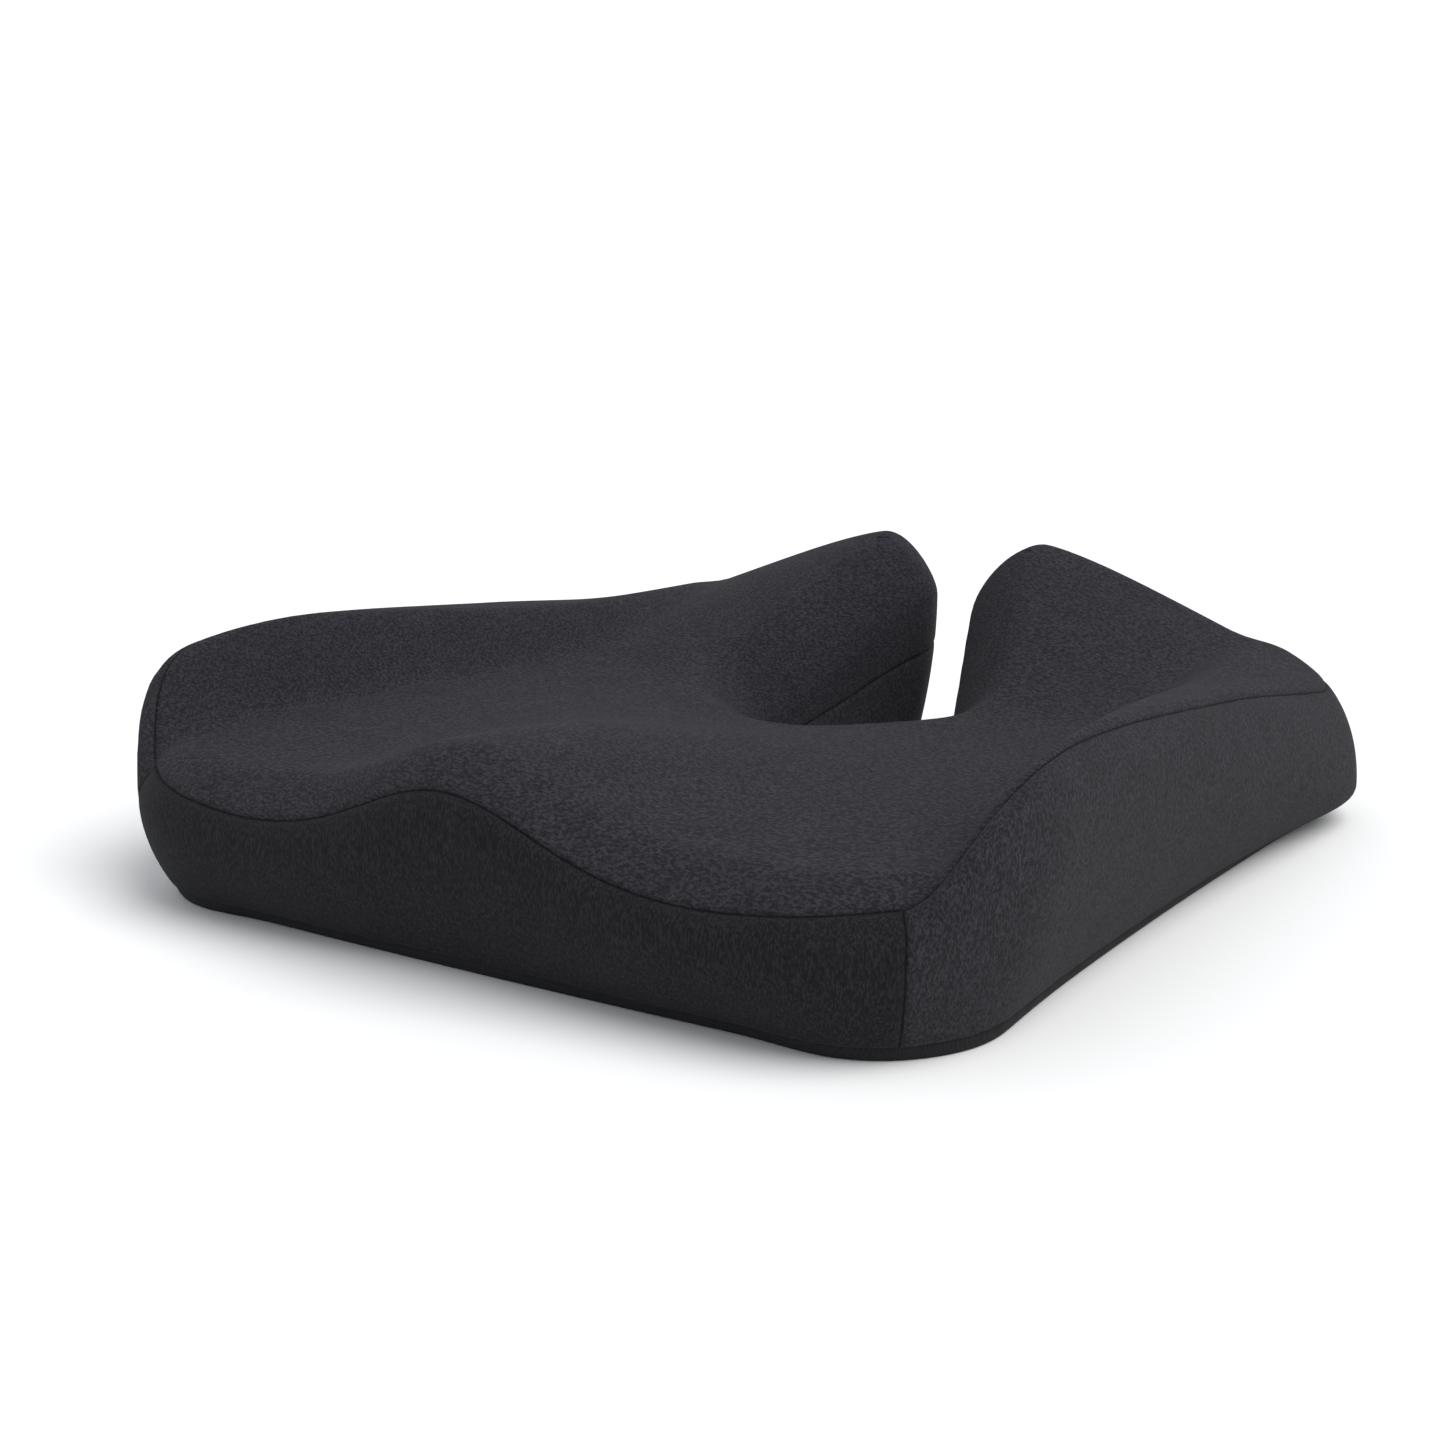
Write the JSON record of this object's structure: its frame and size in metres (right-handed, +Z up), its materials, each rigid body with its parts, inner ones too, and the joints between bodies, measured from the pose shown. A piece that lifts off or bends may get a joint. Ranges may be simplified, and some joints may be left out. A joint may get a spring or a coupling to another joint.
{
  "type": "seat cushion",
  "caption": "Contoured office seat cushion with a front ridge, two raised rear wings, an open tailbone slot and a zipped knit cover.",
  "frame": {"origin": "on the floor plane, under the middle of the cushion's box", "axes": "+X to the sitter's right, +Y to the rear where the slot opens, +Z up"},
  "size_m": [0.4494, 0.4501, 0.1195],
  "materials": {
    "foam": "matte",
    "liner": "matte",
    "top_knit": "matte",
    "front_knit": "matte",
    "side_knit": "matte",
    "base_fabric": "matte",
    "zip_tape": "matte",
    "zip_teeth": "satin",
    "zip_metal": "satin",
    "thread": "matte"
  },
  "bodies": {
    "cushion": {"foam_core": "foam", "inner_liner_top": "liner", "inner_liner_base": "liner", "cover_top_panel": "top_knit", "cover_front_band": "front_knit", "cover_side_band_right": "side_knit", "cover_side_band_left": "side_knit", "cover_rear_band_right": "side_knit", "cover_rear_band_left": "side_knit", "cover_slot_band": "side_knit", "cover_base_edge": "base_fabric", "cover_base_front": "base_fabric", "cover_base_rear": "base_fabric", "zip_tape_front": "zip_tape", "zip_tape_rear": "zip_tape", "zip_teeth_front": "zip_teeth", "zip_teeth_rear": "zip_teeth", "zip_top_stops": "zip_teeth", "zip_bottom_stop": "zip_teeth", "top_seam_thread": "thread", "corner_seam_threads": "thread", "base_seam_thread": "thread"},
    "slider": {"zip_slider": "zip_metal"},
    "pull_tab": {"zip_pull_tab": "zip_metal"}
  },
  "joints": [
    {"name": "zip_slide", "type": "slide", "parent": "cushion", "child": "slider", "axis": [-1, 0, 0], "range_m": [0, 0.309]},
    {"name": "pull_hinge", "type": "hinge", "parent": "slider", "child": "pull_tab", "pos_m": [0.1545, -0.06675, 0.0024], "axis": [0, -1, 0], "range_deg": [0, 170]}
  ]
}
